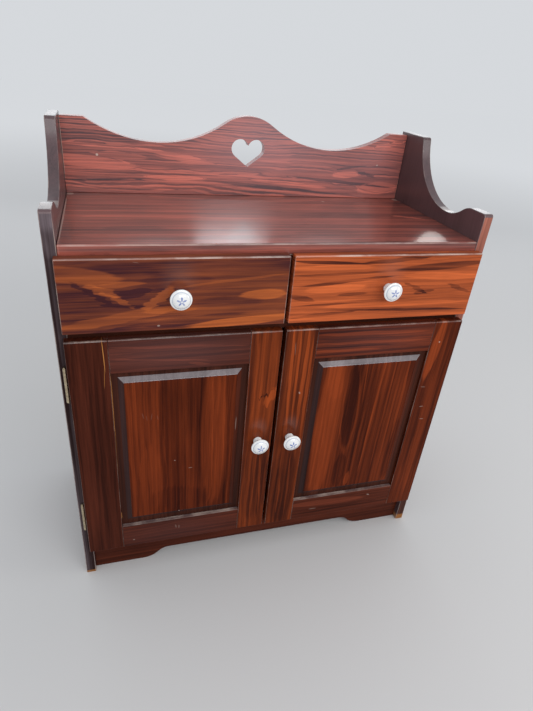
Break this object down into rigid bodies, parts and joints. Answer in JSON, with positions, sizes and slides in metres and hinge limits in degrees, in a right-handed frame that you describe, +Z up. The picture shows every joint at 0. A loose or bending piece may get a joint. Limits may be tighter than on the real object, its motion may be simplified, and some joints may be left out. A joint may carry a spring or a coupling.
{
  "type": "toy kitchen cupboard",
  "caption": "Child-size dry-sink play cupboard in stained pine: tray worktop, heart splash-back, drawers over raised-panel doors, porcelain knobs and butt hinges.",
  "frame": {"origin": "on the floor, under the middle of the whole object's box, knobs included", "axes": "+Z up, +X to the right of someone facing the doors, the doors face -Y"},
  "size_m": [0.715, 0.3652, 0.8265],
  "materials": {
    "stained_pine_dark": "satin",
    "stained_pine_red": "satin",
    "stained_pine_amber": "satin",
    "raw_pine": "matte",
    "plywood": "matte",
    "porcelain": "gloss",
    "brass": "satin",
    "steel": "satin",
    "brown_plastic": "satin"
  },
  "bodies": {
    "carcass": {"side_panel_left": "stained_pine_dark", "side_panel_right": "stained_pine_dark", "counter_top": "stained_pine_red", "splash_back": "stained_pine_red", "middle_shelf": "stained_pine_dark", "floor_board": "stained_pine_dark", "apron": "stained_pine_dark", "drawer_divider": "stained_pine_dark", "back_panel": "plywood", "catch_left": "brown_plastic", "catch_right": "brown_plastic", "hinge_left_lower_case_leaf": "brass", "hinge_left_lower_pin": "brass", "hinge_left_upper_case_leaf": "brass", "hinge_left_upper_pin": "brass", "hinge_right_lower_case_leaf": "brass", "hinge_right_lower_pin": "brass", "hinge_right_upper_case_leaf": "brass", "hinge_right_upper_pin": "brass"},
    "door_left": {"hinge_left_lower_door_leaf": "brass", "hinge_left_upper_door_leaf": "brass", "door_left_hinge_stile": "stained_pine_dark", "door_left_top_rail": "stained_pine_dark", "door_left_bottom_rail": "stained_pine_dark", "door_left_latch_stile": "stained_pine_red", "door_left_panel": "stained_pine_red", "door_left_knob": "porcelain", "door_left_knob_screw": "steel", "door_left_strike": "steel"},
    "door_right": {"hinge_right_lower_door_leaf": "brass", "hinge_right_upper_door_leaf": "brass", "door_right_hinge_stile": "stained_pine_dark", "door_right_top_rail": "stained_pine_dark", "door_right_bottom_rail": "stained_pine_dark", "door_right_latch_stile": "stained_pine_red", "door_right_panel": "stained_pine_red", "door_right_knob": "porcelain", "door_right_knob_screw": "steel", "door_right_strike": "steel"},
    "drawer_left": {"drawer_left_front": "stained_pine_amber", "drawer_left_outer_side": "raw_pine", "drawer_left_inner_side": "raw_pine", "drawer_left_back": "raw_pine", "drawer_left_base": "plywood", "drawer_left_knob": "porcelain", "drawer_left_knob_screw": "steel"},
    "drawer_right": {"drawer_right_front": "stained_pine_amber", "drawer_right_outer_side": "raw_pine", "drawer_right_inner_side": "raw_pine", "drawer_right_back": "raw_pine", "drawer_right_base": "plywood", "drawer_right_knob": "porcelain", "drawer_right_knob_screw": "steel"}
  },
  "joints": [
    {"name": "door_left_hinge", "type": "hinge", "parent": "carcass", "child": "door_left", "pos_m": [-0.3493, -0.14265, 0.30715], "axis": [0, 0, -1], "range_deg": [0, 130]},
    {"name": "door_right_hinge", "type": "hinge", "parent": "carcass", "child": "door_right", "pos_m": [0.3493, -0.14265, 0.30715], "axis": [0, 0, 1], "range_deg": [0, 130]},
    {"name": "drawer_left_slide", "type": "slide", "parent": "carcass", "child": "drawer_left", "axis": [0, -1, 0], "range_m": [0, 0.2]},
    {"name": "drawer_right_slide", "type": "slide", "parent": "carcass", "child": "drawer_right", "axis": [0, -1, 0], "range_m": [0, 0.2]}
  ]
}
